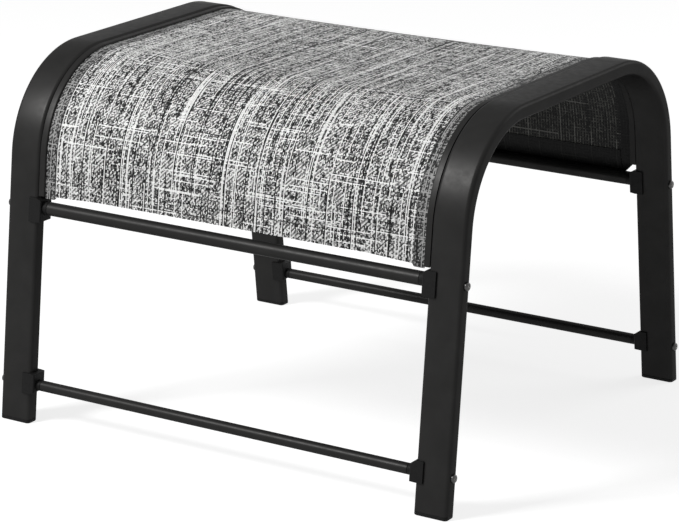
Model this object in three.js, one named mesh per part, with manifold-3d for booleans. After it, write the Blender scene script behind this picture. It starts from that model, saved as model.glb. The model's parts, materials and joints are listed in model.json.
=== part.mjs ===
// Outdoor sling ottoman: two bent flat-tube side frames, four crossbars held in moulded
// saddles, and a woven sling stretched between two slotted rails.
// Millimetres. +Z is up, +X is to the right, the front faces -Y, and the floor is z = 0.

import * as THREE from 'three';
import { mergeVertices } from 'three/addons/utils/BufferGeometryUtils.js';
import Module from 'manifold-3d';

const wasm = await Module();
wasm.setup();

// Overall form
const frameWidth = 520; // over the outer faces of the two side frames
const frameHeight = 364; // floor to the top face of the side frames
const footSpread = 454; // front to back, between the leg centre lines at the floor
const splayDegrees = 6.5; // each leg leans outwards by this much
const bendRadius = 108; // outer face of the shoulder bends

// Side frame tube: a flat tube with its wide face turned outwards
const tubeWidth = 36;
const tubeDepth = 14.5;
const tubeCorner = 4;
const tubeWall = 1.5;

// Crossbars
const upperBarBelowBend = 50.4; // its centre line, below the end of the leg's straight
const lowerBarHeight = 39; // its centre line
const upperBarDiameter = 13.6;
const lowerBarDiameter = 10.9;
const barWall = 1.2;

// Saddles that seat the bars on the legs. A collar as thick as the bar stands out of the end
// face, the bar butts on it, and a spigot on the collar goes into the bar.
const saddleWeb = 5.4;
const saddleFlange = 1.4;
const saddleWrap = 8.8;
const saddleCorner = 1.4;
const collarLength = 4.8;
const spigotLength = 3;

// Saddle heights, up and down from the bar's centre line: the flanges that wrap the leg, and
// the end face. The end faces of the lower saddles sit higher on the left than on the right.
const upperSaddleTop = 11;
const upperSaddleBottom = 13.2;
const upperSaddleEndTop = 8.8;
const upperSaddleEndBottom = 12.5;
const lowerSaddleTop = 12.8;
const lowerSaddleBottom = 8;
const lowerRightEndTop = 8.8;
const lowerRightEndBottom = 7.8;
const lowerLeftEndTop = 12.4;
const lowerLeftEndBottom = 5.8;

// Bolts and the threaded inserts that they pull against
const boltDiameter = 5;
const boltHeadDiameter = 8.4;
const boltHeadHeight = 2.6;
const boltHeadRim = 0.7;
const boltSocketAcross = 3;
const boltSocketDepth = 1.4;
const boltReach = 12; // past the spigot
const insertLength = 16;

// Sling rail: a slotted rail along the inner side of each side frame
const railWidth = 6.7;
const railDepth = 10;
const railCorner = 1.4;
const railLip = 1.55; // over the slot
const railWall = 0.9; // over and beside the bore
const railBore = 4.2;
const railFrontClear = 1.2; // from the saddle up to the rail's end, at the front
const railRearClear = 6; // and at the rear

// Sling and the splines that lock its side hems in the rails
const slingInset = 4; // middle of the cloth below the tube's outer face
const slingThickness = 1;
const slingSag = 1.9;
const slingShortOfRail = 3; // at the front
const slingClearOfBar = 0.5; // at the rear, where it hangs lower
const slingCornerCut = 9.4; // off each rear corner
const slotClearance = 0.35; // on each side of the cloth
const splineClearance = 0.4; // round the spline, for the cloth that wraps it

// Foot caps: a sole, and a plug that fits inside the tube
const soleThickness = 3.5;
const soleRounding = 1.2;
const capPlugLength = 18;

// Gaps between pieces that touch, and the overrun of every cutter
const seatGap = 0.3;
const cutOverrun = 5;

// Faceting
const bendSteps = 12;
const cornerSteps = 3;
const railCornerSteps = 2;
const boreSteps = 5;
const roundSides = 16;
const boltSides = 12;
const splineSides = 8;
const slingColumns = 8;

// Proportions of small forms
const boltCrownShare = 0.55; // flat of the bolt's head, of its radius
const lipRoundingShare = 0.95; // most of the rail's lip that its corner may take

// Values that follow from the sizes above
const splay = THREE.MathUtils.degToRad(splayDegrees);
const sideX = (frameWidth - tubeWidth) / 2;
const footHalf = footSpread / 2;
const lineRadius = bendRadius - tubeDepth / 2;
const lineTop = frameHeight - tubeDepth / 2;
const bendCentreZ = lineTop - lineRadius;
const bendCentreY = footHalf - (lineRadius + bendCentreZ * Math.sin(splay)) / Math.cos(splay);
const straightTop = bendCentreZ + lineRadius * Math.sin(splay);
const upperBarHeight = straightTop - upperBarBelowBend;
const innerFace = tubeWidth / 2 + seatGap;
const saddleEnd = innerFace + saddleWeb;
const barEnd = saddleEnd + collarLength + seatGap;
const spigotEnd = barEnd + spigotLength;
const barLength = 2 * (sideX - barEnd);
const boltHole = boltDiameter / 2 + seatGap;
const slingLevel = tubeDepth / 2 - slingInset;
const railSlot = slingThickness + 2 * slotClearance;
const railTop = slingLevel + railSlot / 2 + railLip;
const railFar = innerFace + railWidth;
const boreCentre = railFar - railWall - railBore / 2;
const boreLevel = railTop - railWall - railBore / 2;
const splineDiameter = railBore - 2 * splineClearance;
const saddleTopHeight = upperBarHeight + upperSaddleTop;
const railFrontHeight = saddleTopHeight + railFrontClear;
const railRearHeight = saddleTopHeight + railRearClear;
const slingFrontHeight = railFrontHeight + slingShortOfRail;
const slingRearHeight = upperBarHeight + upperBarDiameter / 2 + slingClearOfBar;

const blackPowderCoat = { color: 0x2e2e2d, roughness: 0.42, metalness: 0.2 };
const blackMoulding = { color: 0x222222, roughness: 0.6, metalness: 0 };
const zincSteel = { color: 0xb9bbbd, roughness: 0.3, metalness: 1 };
const greyMelange = { color: 0x7b7b7a, roughness: 0.85, metalness: 0 };

function makeMesh(name, geometry, finish) {
  const mesh = new THREE.Mesh(geometry, new THREE.MeshStandardMaterial(finish));
  mesh.name = name;
  return mesh;
}

// Joins and cuts

function toSolid(geometry) {
  const bare = geometry.clone();
  bare.deleteAttribute('normal');
  bare.deleteAttribute('uv');
  const merged = mergeVertices(bare);
  return new wasm.Manifold(
    new wasm.Mesh({
      numProp: 3,
      vertProperties: new Float32Array(merged.getAttribute('position').array),
      triVerts: new Uint32Array(merged.getIndex().array),
    })
  );
}

function toGeometry(solid) {
  const mesh = solid.getMesh();
  const geometry = new THREE.BufferGeometry();
  geometry.setAttribute('position', new THREE.BufferAttribute(mesh.vertProperties, 3));
  geometry.setIndex(new THREE.BufferAttribute(mesh.triVerts, 1));
  return geometry;
}

function cut(geometry, cutters) {
  let solid = toSolid(geometry);
  for (const cutter of cutters) {
    solid = solid.subtract(toSolid(cutter));
  }
  return toGeometry(solid);
}

// Outlines and plain forms

function roundedRectangle(width, depth, radius) {
  const points = [];
  const corners = [[1, 1], [-1, 1], [-1, -1], [1, -1]];
  corners.forEach(([sx, sy], quarter) => {
    for (let i = 0; i <= cornerSteps; i += 1) {
      const angle = ((quarter + i / cornerSteps) * Math.PI) / 2;
      const x = sx * (width / 2 - radius) + radius * Math.cos(angle);
      const y = sy * (depth / 2 - radius) + radius * Math.sin(angle);
      points.push(new THREE.Vector2(x, y));
    }
  });
  return points;
}

function tubeOutline(growth) {
  return roundedRectangle(tubeWidth + 2 * growth, tubeDepth + 2 * growth, tubeCorner + growth);
}

function cylinderAlongX(radius, length, sides) {
  return new THREE.CylinderGeometry(radius, radius, length, sides).rotateZ(Math.PI / 2);
}

function ringAlongX(outerRadius, innerRadius, length, sides) {
  const profile = [
    new THREE.Vector2(innerRadius, -length / 2),
    new THREE.Vector2(outerRadius, -length / 2),
    new THREE.Vector2(outerRadius, length / 2),
    new THREE.Vector2(innerRadius, length / 2),
    new THREE.Vector2(innerRadius, -length / 2),
  ];
  return new THREE.LatheGeometry(profile, sides).rotateZ(Math.PI / 2);
}

// Leans an upright form with a front leg and keeps its level faces level.
// A level cut through the leaning leg is a little deeper than the tube is.
function leanWithLeg(geometry) {
  const lean = new THREE.Matrix4().makeShear(0, 0, 0, 0, 0, Math.tan(splay));
  return geometry.scale(1, 1 / Math.cos(splay), 1).applyMatrix4(lean);
}

// The line that both side frames follow: up the front leg, over the top, down the rear leg

function legY(height) {
  return footHalf - height * Math.tan(splay);
}

// Takes the heights of its stations up the front leg, and down the rear leg
function frameStations(frontHeights, rearHeights) {
  const stations = [];
  const addStation = (y, z, lean) => {
    stations.push({
      point: new THREE.Vector3(0, y, z),
      tangent: new THREE.Vector3(0, Math.cos(lean), Math.sin(lean)),
    });
  };
  const steepest = Math.PI / 2 - splay;
  for (const height of frontHeights) {
    addStation(-legY(height), height, steepest);
  }
  for (const end of [-1, 1]) {
    for (let i = 0; i <= bendSteps; i += 1) {
      const share = end < 0 ? 1 - i / bendSteps : i / bendSteps;
      const turn = steepest * share;
      const y = end * (bendCentreY + lineRadius * Math.sin(turn));
      const z = bendCentreZ + lineRadius * Math.cos(turn);
      addStation(y, z, -end * turn);
    }
  }
  for (const height of rearHeights) {
    addStation(legY(height), height, -steepest);
  }
  return stations;
}

// Steps evenly through its stations, so that straight stretches get no extra rings
class FrameLine extends THREE.Curve {
  constructor(frontHeight, rearHeight) {
    super();
    this.stations = frameStations([frontHeight], [rearHeight]);
  }

  get steps() {
    return this.stations.length - 1;
  }

  getPointAt(u, target = new THREE.Vector3()) {
    return target.copy(this.stations[Math.round(u * this.steps)].point);
  }

  getTangentAt(u, target = new THREE.Vector3()) {
    return target.copy(this.stations[Math.round(u * this.steps)].tangent);
  }
}

// A section's +y faces out of the frame's bend, and its +x faces -X
function sweep(shape, frontHeight, rearHeight) {
  const line = new FrameLine(frontHeight, rearHeight);
  return new THREE.ExtrudeGeometry(shape, { steps: line.steps, extrudePath: line });
}

// Side frames: swept past the floor, then cut level above the soles and drilled for the bolts

function sideFrameGeometry() {
  const section = new THREE.Shape(tubeOutline(0));
  section.holes.push(new THREE.Path(tubeOutline(-tubeWall)));
  const tube = sweep(section, -cutOverrun, -cutOverrun);
  const cutDepth = tubeDepth + 2 * cutOverrun;
  const reach = footSpread + 2 * cutDepth;
  const ground = new THREE.BoxGeometry(tubeWidth + 2 * cutOverrun, reach, cutDepth);
  const cutters = [ground.translate(0, 0, soleThickness + seatGap - cutDepth / 2)];
  for (const height of [upperBarHeight, lowerBarHeight]) {
    for (const end of [-1, 1]) {
      const drill = cylinderAlongX(boltHole, tubeWidth + 2 * cutOverrun, boltSides);
      cutters.push(drill.translate(0, end * legY(height), height));
    }
  }
  return cut(tube, cutters);
}

// Sling rails and splines. inward is the sign of the section's x towards the sling.

function railShape(inward) {
  const bottom = railTop - railDepth;
  const lipTop = slingLevel + railSlot / 2;
  const lipBottom = slingLevel - railSlot / 2;
  const bore = railBore / 2;
  const mouthTop = Math.asin((lipTop - boreLevel) / bore);
  const mouthBottom = Math.asin((lipBottom - boreLevel) / bore);
  const corner = Math.min(railCorner, railLip * lipRoundingShare);
  const cornerX = railFar - corner;

  const points = [];
  const addArc = (x, y, radius, from, to, steps) => {
    for (let i = 0; i <= steps; i += 1) {
      const angle = from + ((to - from) * i) / steps;
      points.push(new THREE.Vector2(x + radius * Math.cos(angle), y + radius * Math.sin(angle)));
    }
  };
  points.push(new THREE.Vector2(railFar, lipTop));
  addArc(cornerX, railTop - corner, corner, 0, Math.PI / 2, railCornerSteps);
  points.push(new THREE.Vector2(innerFace, railTop));
  points.push(new THREE.Vector2(innerFace, bottom));
  addArc(cornerX, bottom + corner, corner, -Math.PI / 2, 0, railCornerSteps);
  points.push(new THREE.Vector2(railFar, lipBottom));
  addArc(boreCentre, boreLevel, bore, mouthBottom, mouthTop - 2 * Math.PI, 2 * boreSteps);
  return new THREE.Shape(points.map((p) => new THREE.Vector2(inward * p.x, p.y)));
}

function splineShape(inward) {
  const shape = new THREE.Shape();
  shape.absarc(inward * boreCentre, boreLevel, splineDiameter / 2, 0, 2 * Math.PI, false);
  return new THREE.Shape(shape.getPoints(splineSides).slice(0, splineSides));
}

// Sling: a thin sheet that follows the frame line and dips between its rails

// How far each station lies along the line, as a share of the whole
function lengthShares(stations) {
  const lengths = [0];
  for (let i = 1; i < stations.length; i += 1) {
    lengths.push(lengths[i - 1] + stations[i].point.distanceTo(stations[i - 1].point));
  }
  return lengths.map((length) => length / lengths[lengths.length - 1]);
}

function slingGeometry() {
  const cutHeight = slingRearHeight + slingCornerCut;
  const stations = frameStations([slingFrontHeight], [cutHeight, slingRearHeight]);
  const alongShares = lengthShares(stations);
  const halfWidth = sideX - boreCentre - splineDiameter / 2 - seatGap;
  const rows = stations.length;
  const columns = slingColumns + 1;
  const positions = [];
  for (const face of [1, -1]) {
    stations.forEach(({ point, tangent }, row) => {
      const out = new THREE.Vector3(0, -tangent.z, tangent.y);
      const drop = slingSag * Math.sin(Math.PI * alongShares[row]);
      const reach = row === rows - 1 ? halfWidth - slingCornerCut : halfWidth;
      for (let column = 0; column < columns; column += 1) {
        const across = (2 * column) / slingColumns - 1;
        const dip = drop * (1 - across * across);
        const level = slingLevel - dip + (face * slingThickness) / 2;
        positions.push(across * reach, point.y + out.y * level, point.z + out.z * level);
      }
    });
  }
  return sheetGeometry(positions, rows, columns);
}

// Joins an upper and a lower grid of points, given one after the other, into one closed sheet
function sheetGeometry(positions, rows, columns) {
  const faces = [];
  const lower = rows * columns;
  const quad = (a, b, c, d) => faces.push(a, b, c, a, c, d);
  const at = (row, column) => row * columns + column;
  for (let row = 0; row < rows - 1; row += 1) {
    for (let column = 0; column < columns - 1; column += 1) {
      const a = at(row, column);
      const b = at(row, column + 1);
      const c = at(row + 1, column + 1);
      const d = at(row + 1, column);
      quad(a, b, c, d);
      quad(lower + d, lower + c, lower + b, lower + a);
    }
  }
  for (let row = 0; row < rows - 1; row += 1) {
    const left = [at(row, 0), at(row + 1, 0)];
    const right = [at(row, columns - 1), at(row + 1, columns - 1)];
    quad(left[0], left[1], lower + left[1], lower + left[0]);
    quad(right[1], right[0], lower + right[0], lower + right[1]);
  }
  for (let column = 0; column < columns - 1; column += 1) {
    const front = [at(0, column), at(0, column + 1)];
    const rear = [at(rows - 1, column), at(rows - 1, column + 1)];
    quad(front[1], front[0], lower + front[0], lower + front[1]);
    quad(rear[0], rear[1], lower + rear[1], lower + rear[0]);
  }
  const geometry = new THREE.BufferGeometry();
  geometry.setAttribute('position', new THREE.Float32BufferAttribute(positions, 3));
  geometry.setIndex(faces);
  return geometry;
}

// Saddles: x runs from the leg's centre towards the bar, and z is measured from the bar's centre

// The saddle seen along the bar: flanges that wrap the leg, with the outer corners rounded
function saddlePlan() {
  const start = tubeWidth / 2 - saddleWrap;
  const half = tubeDepth / 2 + seatGap + saddleFlange;
  const cornerX = saddleEnd - saddleCorner;
  const cornerY = half - saddleCorner;
  const plan = new THREE.Shape();
  plan.moveTo(start, -half);
  plan.lineTo(cornerX, -half);
  plan.absarc(cornerX, -cornerY, saddleCorner, -Math.PI / 2, 0, false);
  plan.lineTo(saddleEnd, cornerY);
  plan.absarc(cornerX, cornerY, saddleCorner, 0, Math.PI / 2, false);
  plan.lineTo(start, half);
  return plan;
}

// The saddle seen from the front: level over the leg, and drawn in towards the bar
function saddleProfile({ top, bottom }, { endTop, endBottom }) {
  const start = tubeWidth / 2 - saddleWrap - cutOverrun;
  const profile = new THREE.Shape();
  profile.moveTo(start, -bottom);
  profile.lineTo(tubeWidth / 2, -bottom);
  profile.lineTo(saddleEnd, -endBottom);
  profile.lineTo(saddleEnd + cutOverrun, -endBottom);
  profile.lineTo(saddleEnd + cutOverrun, endTop);
  profile.lineTo(saddleEnd, endTop);
  profile.lineTo(tubeWidth / 2, top);
  profile.lineTo(start, top);
  return profile;
}

// An upright prism of the given plan, tall enough to pass the saddle at both ends
function uprightPrism(shape, height, curveSegments) {
  const prism = new THREE.ExtrudeGeometry(shape, {
    depth: height,
    bevelEnabled: false,
    curveSegments,
  });
  return prism.translate(0, 0, -height / 2);
}

function saddleGeometry(level, side) {
  const tall = 2 * (level.top + level.bottom);
  const block = leanWithLeg(uprightPrism(saddlePlan(), tall, railCornerSteps));
  const leg = leanWithLeg(uprightPrism(new THREE.Shape(tubeOutline(seatGap)), 2 * tall));
  const deep = 2 * (tubeDepth + saddleFlange + tall);
  const outline = saddleProfile(level, level.ends[side]);
  const profile = uprightPrism(outline, deep).rotateX(Math.PI / 2);

  const round = (radius, start, end, sides) =>
    cylinderAlongX(radius, end - start, sides).translate((start + end) / 2, 0, 0);
  const collarStart = saddleEnd - saddleWeb / 2;
  const radius = level.diameter / 2;
  const collar = round(radius, collarStart, barEnd - seatGap, roundSides);
  const spigot = round(radius - barWall - seatGap, collarStart, spigotEnd, roundSides);
  const boltWay = round(boltHole, 0, spigotEnd + cutOverrun, boltSides);

  let body = toSolid(block).intersect(toSolid(profile));
  for (const form of [collar, spigot]) {
    body = body.add(toSolid(form));
  }
  for (const cutter of [leg, boltWay]) {
    body = body.subtract(toSolid(cutter));
  }
  return toGeometry(body);
}

// Bolts: a low button head with a hexagon socket, its axis along +X and its seat at x = 0

function boltGeometry() {
  const shank = boltDiameter / 2;
  const head = boltHeadDiameter / 2;
  const crown = head * boltCrownShare;
  const length = innerFace + spigotEnd + boltReach;
  const profile = [
    new THREE.Vector2(0, -length),
    new THREE.Vector2(shank, -length),
    new THREE.Vector2(shank, 0),
    new THREE.Vector2(head, 0),
  ];
  for (let i = 0; i <= cornerSteps; i += 1) {
    const turn = (i / cornerSteps) * (Math.PI / 2);
    const radius = crown + (head - crown) * Math.cos(turn);
    const height = boltHeadRim + (boltHeadHeight - boltHeadRim) * Math.sin(turn);
    profile.push(new THREE.Vector2(radius, height));
  }
  profile.push(new THREE.Vector2(0, boltHeadHeight));
  const body = new THREE.LatheGeometry(profile, boltSides);
  const socketReach = boltSocketAcross / Math.sqrt(3);
  const socket = new THREE.CylinderGeometry(socketReach, socketReach, 2 * boltSocketDepth, 6);
  return cut(body, [socket.translate(0, boltHeadHeight, 0)]).rotateZ(-Math.PI / 2);
}

// Foot caps: level rings about the leg's centre line, leaned with the leg

function footCapGeometry() {
  const ring = (inset, height) => tubeOutline(-inset).map((p) => new THREE.Vector3(p.x, p.y, height));
  const plugInset = tubeWall + seatGap;
  const easing = soleRounding * (1 - Math.SQRT1_2);
  const cap = loftGeometry([
    ring(soleRounding, 0),
    ring(easing, easing),
    ring(0, soleRounding),
    ring(0, soleThickness),
    ring(plugInset, soleThickness),
    ring(plugInset, soleThickness + capPlugLength),
  ]);
  return leanWithLeg(cap);
}

// Closes a stack of rings of equal count into one solid
function loftGeometry(rings) {
  const count = rings[0].length;
  const positions = rings.flat().flatMap((p) => [p.x, p.y, p.z]);
  const faces = [];
  for (let ring = 0; ring < rings.length - 1; ring += 1) {
    for (let i = 0; i < count; i += 1) {
      const next = (i + 1) % count;
      const a = ring * count + i;
      const b = ring * count + next;
      faces.push(a, b, b + count, a, b + count, a + count);
    }
  }
  const last = (rings.length - 1) * count;
  for (let i = 1; i < count - 1; i += 1) {
    faces.push(0, i + 1, i);
    faces.push(last, last + i, last + i + 1);
  }
  const geometry = new THREE.BufferGeometry();
  geometry.setAttribute('position', new THREE.Float32BufferAttribute(positions, 3));
  geometry.setIndex(faces);
  return geometry;
}

// Assembly

const levels = [
  {
    name: 'upper',
    height: upperBarHeight,
    diameter: upperBarDiameter,
    top: upperSaddleTop,
    bottom: upperSaddleBottom,
    ends: {
      left: { endTop: upperSaddleEndTop, endBottom: upperSaddleEndBottom },
      right: { endTop: upperSaddleEndTop, endBottom: upperSaddleEndBottom },
    },
  },
  {
    name: 'lower',
    height: lowerBarHeight,
    diameter: lowerBarDiameter,
    top: lowerSaddleTop,
    bottom: lowerSaddleBottom,
    ends: {
      left: { endTop: lowerLeftEndTop, endBottom: lowerLeftEndBottom },
      right: { endTop: lowerRightEndTop, endBottom: lowerRightEndBottom },
    },
  },
];

function buildSides(root) {
  for (const [side, sign] of [['left', -1], ['right', 1]]) {
    const group = new THREE.Group();
    group.position.x = sign * sideX;
    group.add(makeMesh(`${side}_side_frame`, sideFrameGeometry(), blackPowderCoat));
    const rail = sweep(railShape(sign), railFrontHeight, railRearHeight);
    group.add(makeMesh(`${side}_sling_rail`, rail, blackPowderCoat));
    const spline = sweep(splineShape(sign), railFrontHeight, railRearHeight);
    group.add(makeMesh(`${side}_sling_spline`, spline, blackMoulding));
    root.add(group);
  }
}

// One bolted joint: the saddle, the bolt through the leg and the insert in the bar's end
function buildJoint(endGroup, legName, side, sign, level) {
  const joint = new THREE.Group();
  joint.position.set(sign * sideX, -legY(level.height), level.height);

  const saddleForm = saddleGeometry(level, side);
  const saddle = makeMesh(`${legName}_${level.name}_saddle`, saddleForm, blackMoulding);
  saddle.scale.x = -sign;
  joint.add(saddle);

  const bolt = makeMesh(`${legName}_${level.name}_bolt`, boltGeometry(), zincSteel);
  bolt.position.x = sign * innerFace;
  bolt.rotation.z = sign > 0 ? 0 : Math.PI;
  joint.add(bolt);

  const insertRadius = level.diameter / 2 - barWall - seatGap;
  const ring = ringAlongX(insertRadius, boltHole, insertLength, boltSides);
  const insert = makeMesh(`${legName}_${level.name}_insert`, ring, zincSteel);
  insert.position.x = -sign * (spigotEnd + seatGap + insertLength / 2);
  joint.add(insert);
  endGroup.add(joint);
}

// Everything that one leg carries, for a leg at the front
function buildLeg(endGroup, end, side, sign) {
  const legName = `${end}_${side}`;
  const cap = makeMesh(`${legName}_foot_cap`, footCapGeometry(), blackMoulding);
  cap.position.set(sign * sideX, -footHalf, 0);
  endGroup.add(cap);
  for (const level of levels) {
    buildJoint(endGroup, legName, side, sign, level);
  }
}

// The rear is the front turned half way round, so its left and right change places
function buildEnd(root, end) {
  const endGroup = new THREE.Group();
  const turned = end === 'rear';
  endGroup.rotation.z = turned ? Math.PI : 0;
  for (const level of levels) {
    const radius = level.diameter / 2;
    const bar = ringAlongX(radius, radius - barWall, barLength, roundSides);
    bar.translate(0, -legY(level.height), level.height);
    endGroup.add(makeMesh(`${end}_${level.name}_bar`, bar, blackPowderCoat));
  }
  for (const side of ['left', 'right']) {
    const sign = (side === 'right') === turned ? -1 : 1;
    buildLeg(endGroup, end, side, sign);
  }
  root.add(endGroup);
}

const ottoman = new THREE.Group();
buildSides(ottoman);
ottoman.add(makeMesh('sling', slingGeometry(), greyMelange));
buildEnd(ottoman, 'front');
buildEnd(ottoman, 'rear');

export default ottoman;
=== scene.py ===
"""Looks of an outdoor sling ottoman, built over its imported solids.

Metres. +Z is up, +X is to the right, the front faces -Y, and the floor is z = 0.
"""

import json
import math

import bmesh
import bpy
from mathutils import Matrix, Vector


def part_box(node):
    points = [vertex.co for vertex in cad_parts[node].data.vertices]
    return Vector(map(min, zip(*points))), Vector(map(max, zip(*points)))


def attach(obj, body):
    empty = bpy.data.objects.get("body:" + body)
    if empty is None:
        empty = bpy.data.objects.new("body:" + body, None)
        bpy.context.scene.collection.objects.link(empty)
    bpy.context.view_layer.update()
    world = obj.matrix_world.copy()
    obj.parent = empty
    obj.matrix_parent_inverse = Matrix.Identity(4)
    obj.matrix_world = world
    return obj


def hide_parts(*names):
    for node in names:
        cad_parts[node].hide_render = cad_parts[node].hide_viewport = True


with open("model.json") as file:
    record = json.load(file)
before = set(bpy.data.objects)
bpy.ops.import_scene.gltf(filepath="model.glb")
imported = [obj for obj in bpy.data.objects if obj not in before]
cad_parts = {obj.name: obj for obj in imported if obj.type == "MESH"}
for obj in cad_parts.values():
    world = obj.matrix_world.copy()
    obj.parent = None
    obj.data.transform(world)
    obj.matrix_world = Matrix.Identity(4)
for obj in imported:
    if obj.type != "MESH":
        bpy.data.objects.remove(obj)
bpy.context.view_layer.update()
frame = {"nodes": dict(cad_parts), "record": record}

# The camera that was fitted to the photograph
CAMERA_AZIMUTH = math.radians(32.821)
CAMERA_ELEVATION = math.radians(17.043)
CAMERA_ROLL = math.radians(-0.127)
CAMERA_DISTANCE = 3.01884
CAMERA_TARGET = Vector((-0.00616, 0.0, 0.144077))
CAMERA_LENS = 159.03
CAMERA_SENSOR = 36.0

# The side frame's tube and line
SPLAY = math.radians(6.5)
BEND_RADIUS = 0.108
TUBE_DEPTH = 0.0145
TUBE_CORNER = 0.004
TUBE_WALL = 0.0015

# Sling rail. Its ends are given as heights on the frame's line.
RAIL_WIDTH = 0.0067
RAIL_DEPTH = 0.010
RAIL_CORNER = 0.0014
RAIL_LIP = 0.00155
RAIL_WALL = 0.0009
RAIL_BORE = 0.0042
RAIL_SLOT = 0.0017
RAIL_FRONT = 0.2292
RAIL_REAR = 0.234

# Cloth
CLOTH_INSET = 0.004
CLOTH_THICKNESS = 0.0009
CLOTH_SAG = 0.0019
CLOTH_IN_RAIL = 0.0013
FRONT_EDGE = 0.2324
FRONT_EDGE_BY_TAB = 0.2306
TAB_EDGE = 0.2277
REAR_EDGE = 0.221
CORNER_CUT_START = 0.206
REAR_FLARE = 0.0038
REAR_FLARE_LENGTH = 0.017
EDGE_IN_RAIL = 0.2352
DROOP_START = 0.15  # across, where the front edge starts to hang lower towards its tabs
TAB_TURN = 0.002  # how far into the side hem the edge has come down to the tab

# Hems, folded under the cloth's edges
HEM_THICKNESS = 0.0007
HEM_GAP = 0.0001
SIDE_HEM_START = 0.2043
SIDE_HEM_STOP = 0.2166
END_HEM_STOP = 0.2035
FRONT_HEM_LENGTH = 0.016
REAR_HEM_LENGTH = 0.0245

# Saddles. The heights are above and below the bar's centre, at the leg and at the end face.
SADDLE_WEB = 0.0054
SADDLE_FLANGE = 0.0014
SADDLE_WRAP = 0.0088
SADDLE_CORNER = 0.0014
SADDLE_BEVEL = 0.00065
COLLAR_LENGTH = 0.0048
COLLAR_ROOT = 0.002
SADDLE_HEIGHTS = {
    ("upper", "left"): (0.011, 0.0132, 0.0088, 0.0125),
    ("upper", "right"): (0.011, 0.0132, 0.0088, 0.0125),
    ("lower", "left"): (0.0128, 0.008, 0.0124, 0.0058),
    ("lower", "right"): (0.0128, 0.008, 0.0088, 0.0078),
}

# Bolts
HEAD_RADIUS = 0.0042
HEAD_HEIGHT = 0.0026
HEAD_RIM = 0.0007
HEAD_CROWN = 0.0023
HEAD_EASING = 0.0002
SOCKET_ACROSS = 0.003
SOCKET_DEPTH = 0.0014
SHANK_RADIUS = 0.0025

# Foot caps
SOLE_THICKNESS = 0.0035
SOLE_ROUNDING = 0.0012
PLUG_HEIGHT = 0.018
CAP_EASING = 0.0002

# Crossbars
BAR_WALL = 0.0012
BAR_EASING = 0.0003

# Gap between pieces that touch
SEAT_GAP = 0.0003

# Fineness of the meshes
BEND_RINGS = 48
CORNER_STEPS = 8
ROUND_SIDES = 48
CLOTH_ROWS = 150
HEM_ROWS = 6
MIDDLE_COLUMNS = 60
EDGE_COLUMN = 0.0012
EDGE_COLUMNS_START = 0.195  # across, where the columns get close together
SLOT_COLUMN = 0.0001  # on each side of the rail's mouth, where the cloth's edge steps up
BEVEL_STEPS = 3

# Sharper turns than these show as edges
SMOOTH_ANGLE = math.radians(35)
SADDLE_SMOOTH_ANGLE = math.radians(16)
CAP_SMOOTH_ANGLE = math.radians(40)
BEVEL_ANGLE = math.radians(40)

# Weave. A yarn's tone runs from 0, black, to 1, white.
OUTER_PITCH = 0.0011
INNER_PITCH = 0.0032
OUTER_YARN_SHARE = 0.82
INNER_YARN_SHARE = 0.36
TWILL_REPEAT = 4.0  # yarns
TWILL_MARGIN = 0.1  # keeps the comparison of whole numbers of yarns clear of rounding
YARN_HEIGHT = 0.0003
YARN_RELIEF = 0.5
WARP_BASE = 0.55
WEFT_BASE = 0.34
DYE_RUN = 0.028
DYE_WEIGHT = 0.7
SPECK_RUN = 0.0032
SPECK_WEIGHT = 0.46
WARP_LINE_RUN = 0.2
WEFT_LINE_RUN = 0.09
WARP_LINE_LIMITS = (0.3, 0.67)  # of the noise, below for a dark line and above for a pale one
WEFT_LINE_LIMITS = (0.25, 0.72)
LINE_WEIGHT = 0.9
LINE_LEVEL = 5.3  # of the noise for lines, away from the noise for the dye
LANE_SPREAD = 300.0  # how far apart the yarns lie in the noise
# Share of painted shade on the cloth's side margins by the rails
PAINTED_MARGIN_SHADE = 0.6

# Stitching
STITCH_PITCH = 0.0035
STITCH_SHARE = 0.7
STITCH_HALF_WIDTH = 0.0005
STITCH_INSET = 0.0012
THREAD_COLOUR = (0.02, 0.02, 0.02)

# Noise keeps near its middle, mostly between these
NOISE_RANGE = (0.3, 0.7)

# Sockets of the colour mix node, whose names repeat
MIX_SHARE, MIX_FIRST, MIX_SECOND, MIX_RESULT = 0, 6, 7, 2

# Outlines that share a corner match their points to this many digits
MATCH_DIGITS = 9

# Stage. The shown values are what the camera and reflections see of it.
FLOOR_HALF = 6.0
FLOOR_DROP = 0.0002
FLOOR_COLOUR = 0.5
FLOOR_SHOWN_GLOW = 0.8
FLOOR_SHOWN_COLOUR = 0.38
WORLD_LIGHT = 0.15
WORLD_SHOWN = 0.84
LAMP_AIM = Vector((0.0, 0.0, 0.15))

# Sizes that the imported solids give
frame_lo, frame_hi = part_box("right_side_frame")
tube_width = frame_hi.x - frame_lo.x
side_x = (frame_lo.x + frame_hi.x) / 2
frame_top = frame_hi.z
mounts = {mount["name"]: mount for mount in frame["record"]["mounts"]}
foot_half = mounts["rear_right_foot"]["pos_m"][1]

line_radius = BEND_RADIUS - TUBE_DEPTH / 2
bend_z = frame_top - BEND_RADIUS
bend_y = foot_half - (line_radius + bend_z * math.sin(SPLAY)) / math.cos(SPLAY)
steepest = math.pi / 2 - SPLAY
inner_face = tube_width / 2 + SEAT_GAP
saddle_end = inner_face + SADDLE_WEB
rail_far = inner_face + RAIL_WIDTH
bore_centre = rail_far - RAIL_WALL - RAIL_BORE / 2
sling_level = TUBE_DEPTH / 2 - CLOTH_INSET
rail_top = sling_level + RAIL_SLOT / 2 + RAIL_LIP
bore_level = rail_top - RAIL_WALL - RAIL_BORE / 2
cloth_stop = side_x - rail_far
cloth_half = cloth_stop + CLOTH_IN_RAIL


def leg_y(height):
    return foot_half - height * math.tan(SPLAY)


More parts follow.
